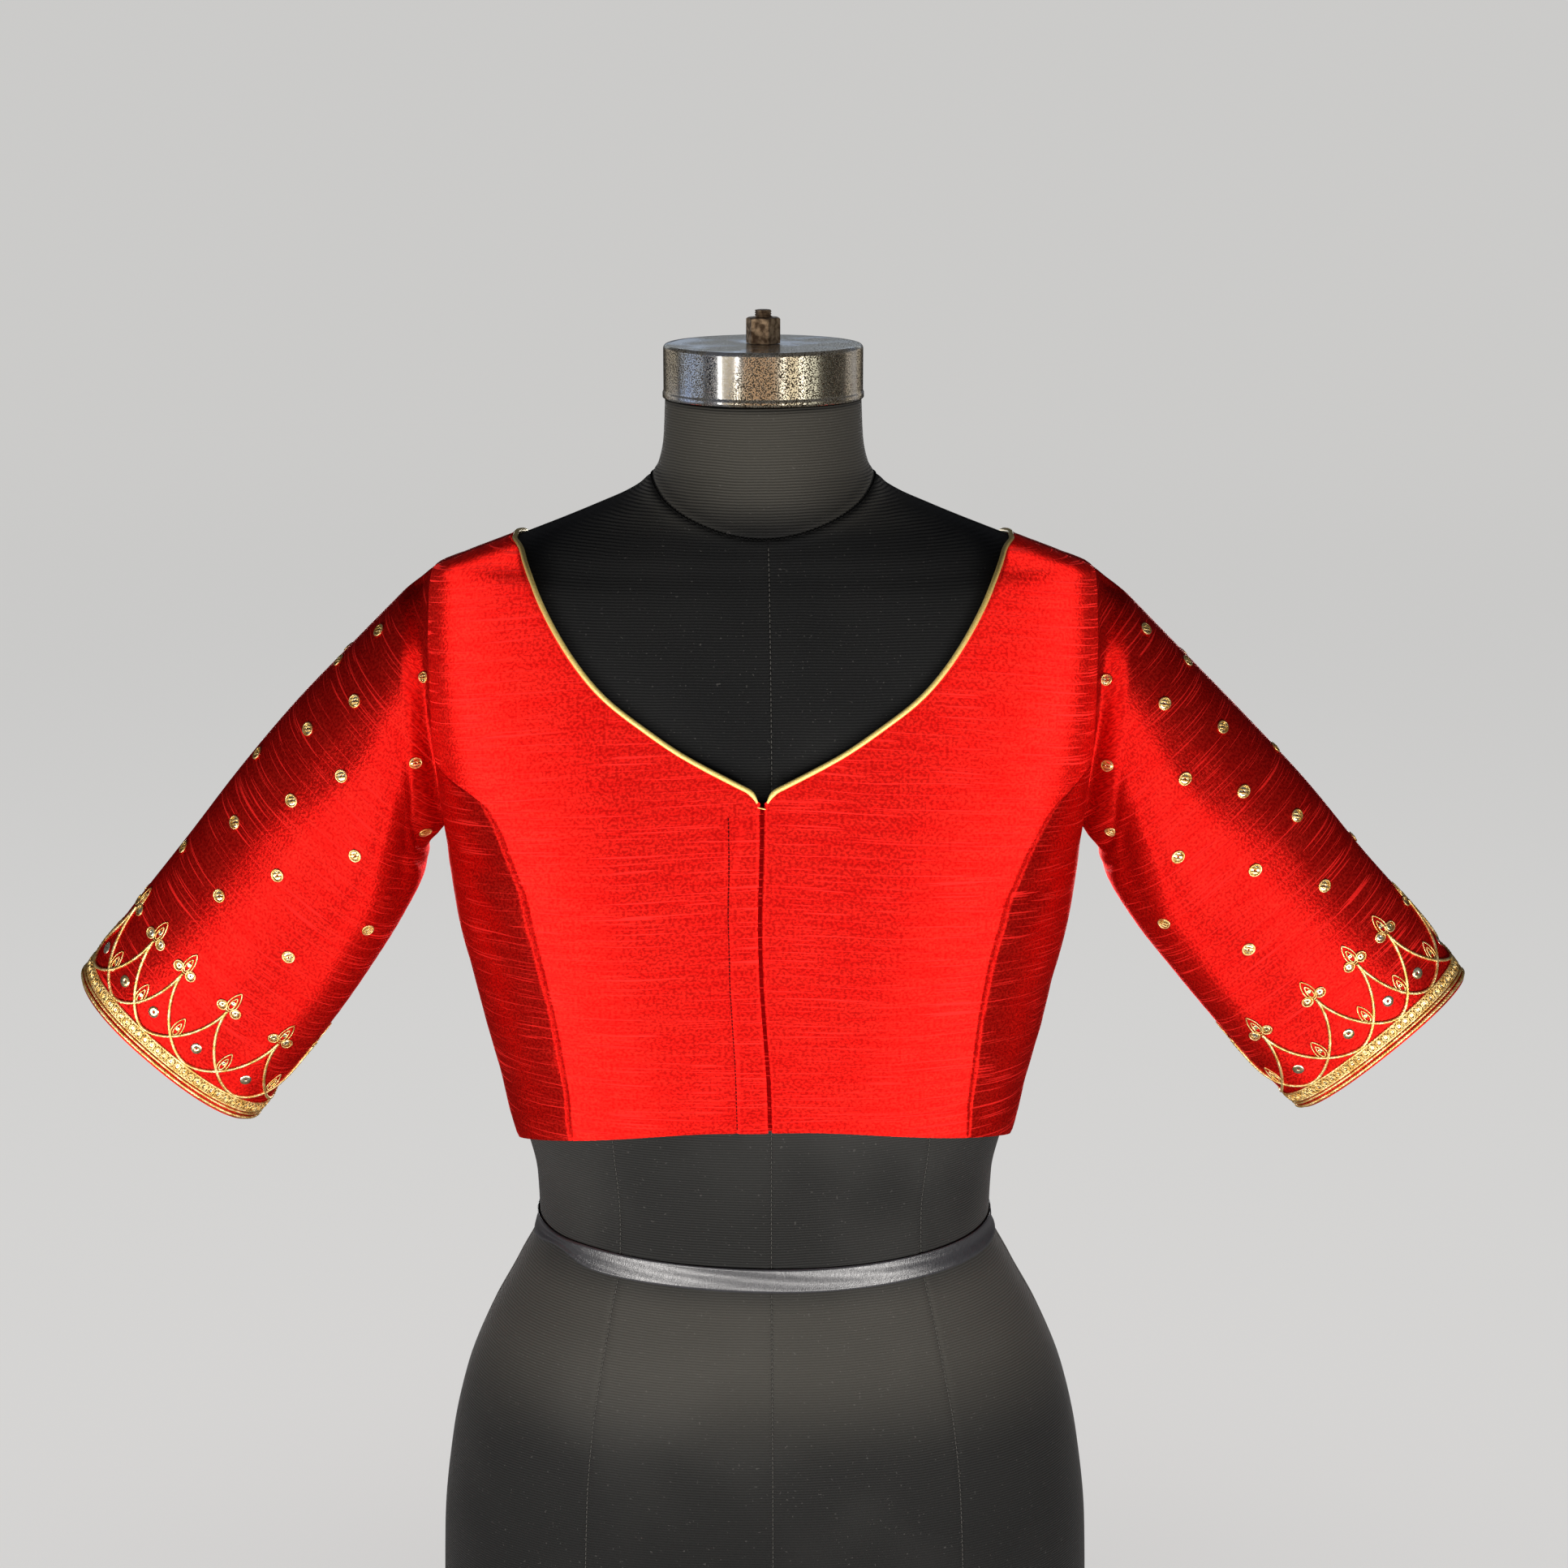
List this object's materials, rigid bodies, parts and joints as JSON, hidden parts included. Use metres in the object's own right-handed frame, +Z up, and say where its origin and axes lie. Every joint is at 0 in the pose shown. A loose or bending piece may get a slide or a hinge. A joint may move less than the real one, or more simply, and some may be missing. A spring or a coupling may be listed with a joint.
{
  "type": "choli blouse on limbless dress form",
  "caption": "Fitted silk blouse with a low neck and elbow sleeves, worn by a limbless dress form that stands on its flat base.",
  "frame": {"origin": "middle of the form's flat bottom, on the surface it stands on", "axes": "+Z up, the blouse's front faces -Y, the wearer's left is +X"},
  "size_m": [0.7654, 0.2453, 0.7865],
  "materials": {
    "silk": "slubbed red silk with a sheen",
    "gold_embroidery": "metallic gold thread",
    "gold_piping": "pale gold satin",
    "form_jersey": "matt ribbed black jersey",
    "plated_cap": "bright plating with fine pits",
    "nut_brass": "tarnished",
    "waist_ribbon": "black satin"
  },
  "bodies": {
    "root": {"front_centre_left": "silk", "front_centre_right": "silk", "front_side_left": "silk", "front_side_right": "silk", "back": "silk", "sleeve_left": "silk", "sleeve_right": "silk", "under_placket": "silk", "sleeve_band_left": "gold_embroidery", "sleeve_band_right": "gold_embroidery", "neck_piping": "gold_piping", "form_torso": "form_jersey", "form_neck_cap": "plated_cap", "form_cap_nut": "nut_brass", "form_rod_end": "nut_brass", "form_waist_tape": "waist_ribbon"}
  },
  "joints": []
}
